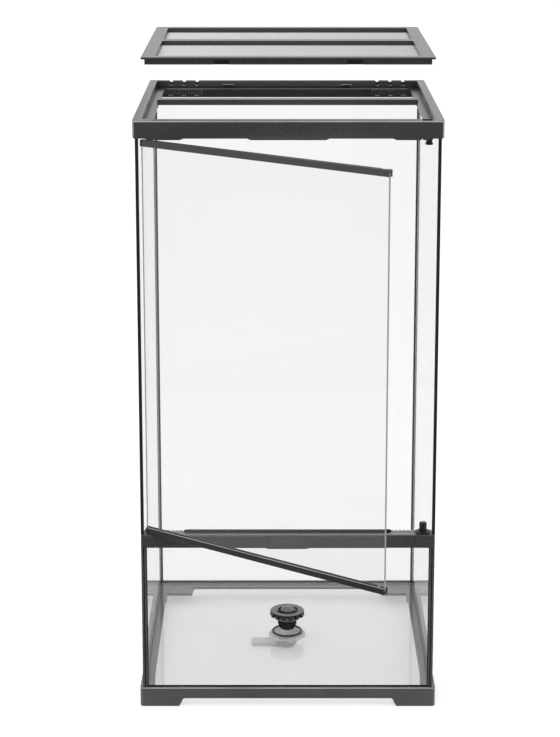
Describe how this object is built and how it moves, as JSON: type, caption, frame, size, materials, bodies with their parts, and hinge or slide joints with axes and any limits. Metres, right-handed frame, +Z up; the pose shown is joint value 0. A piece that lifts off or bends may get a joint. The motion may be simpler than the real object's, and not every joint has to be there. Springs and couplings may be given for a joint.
{
  "type": "terrarium cabinet",
  "caption": "Tall front-opening glass terrarium with dark plastic frames, a hinged glass door, a lift-off screen cover, gated cable inlets and a floor drain with a strainer",
  "frame": {"origin": "centre of the cabinet's footprint, on the plane of the feet", "axes": "+X to the right as seen from the front, +Y to the back, +Z up; the door opens towards -Y"},
  "size_m": [0.457, 0.7055, 1.0063],
  "materials": {
    "moulding": "fine matt grain",
    "dark_plastic": "satin black",
    "grey_plastic": "satin grey",
    "glass": "clear float glass",
    "silicone": "smooth black sealant",
    "gasket": "black rubber",
    "steel": "bright steel",
    "mesh": "fine woven wire"
  },
  "bodies": {
    "cabinet": {"base_frame": "moulding", "floor_pane": "glass", "back_pane": "glass", "left_pane": "glass", "right_pane": "glass", "front_pane": "glass", "back_corner_seals": "silicone", "front_corner_seals": "silicone", "upper_edge_strips": "dark_plastic", "lower_corner_strips": "dark_plastic", "mid_rail": "moulding", "rail_hinge_block": "moulding", "rail_catch_block": "moulding", "vent_strip": "dark_plastic", "rail_plate": "grey_plastic", "top_frame": "moulding", "top_cross_bar": "moulding", "lid_clips": "grey_plastic", "hinge_pin_top": "steel", "hinge_pin_bottom": "steel", "catch_pin_bottom": "dark_plastic", "drain_gasket": "gasket", "drain_nut": "grey_plastic", "drain_bowl": "grey_plastic", "hose_tail": "grey_plastic"},
    "door": {"door_pane": "glass", "door_top_rail": "moulding", "door_bottom_rail": "moulding", "door_top_hinge_cap": "dark_plastic", "door_bottom_hinge_cap": "dark_plastic", "door_top_catch_cap": "dark_plastic", "door_bottom_catch_cap": "dark_plastic"},
    "lock": {"catch_pin_top": "dark_plastic", "lock_button": "dark_plastic", "lock_spring": "steel"},
    "lid": {"lid_frame": "moulding", "lid_mesh_front": "mesh", "lid_mesh_rear": "mesh"},
    "strainer": {"strainer_body": "dark_plastic", "strainer_grate": "grey_plastic"},
    "gate_1": {"cable_gate_1": "grey_plastic"},
    "gate_2": {"cable_gate_2": "grey_plastic"},
    "gate_3": {"cable_gate_3": "grey_plastic"},
    "gate_4": {"cable_gate_4": "grey_plastic"},
    "gate_5": {"cable_gate_5": "grey_plastic"},
    "gate_6": {"cable_gate_6": "grey_plastic"}
  },
  "joints": [
    {"name": "door_swing", "type": "hinge", "parent": "cabinet", "child": "door", "pos_m": [-0.208, -0.223, 0.6], "axis": [0, 0, -1], "range_deg": [-36, 74]},
    {"name": "lid_lift", "type": "slide", "parent": "cabinet", "child": "lid", "axis": [0, 0, 1], "range_m": [-0.09, 0.11]},
    {"name": "strainer_lift", "type": "slide", "parent": "cabinet", "child": "strainer", "axis": [0, 0, 1], "range_m": [-0.0265, 0.1]},
    {"name": "lock_press", "type": "slide", "parent": "cabinet", "child": "lock", "axis": [0, 0, -1], "range_m": [0, 0.003], "stiffness_N_per_m": 500, "springref_m": -0.003, "deforming": ["lock_spring"]},
    {"name": "gate_1_slide", "type": "slide", "parent": "cabinet", "child": "gate_1", "axis": [0, 0, 1], "range_m": [-0.006, 0]},
    {"name": "gate_2_slide", "type": "slide", "parent": "cabinet", "child": "gate_2", "axis": [0, 0, 1], "range_m": [-0.006, 0]},
    {"name": "gate_3_slide", "type": "slide", "parent": "cabinet", "child": "gate_3", "axis": [0, 0, 1], "range_m": [-0.006, 0]},
    {"name": "gate_4_slide", "type": "slide", "parent": "cabinet", "child": "gate_4", "axis": [0, 0, 1], "range_m": [-0.006, 0]},
    {"name": "gate_5_slide", "type": "slide", "parent": "cabinet", "child": "gate_5", "axis": [0, 0, 1], "range_m": [-0.006, 0]},
    {"name": "gate_6_slide", "type": "slide", "parent": "cabinet", "child": "gate_6", "axis": [0, 0, 1], "range_m": [-0.006, 0]}
  ]
}
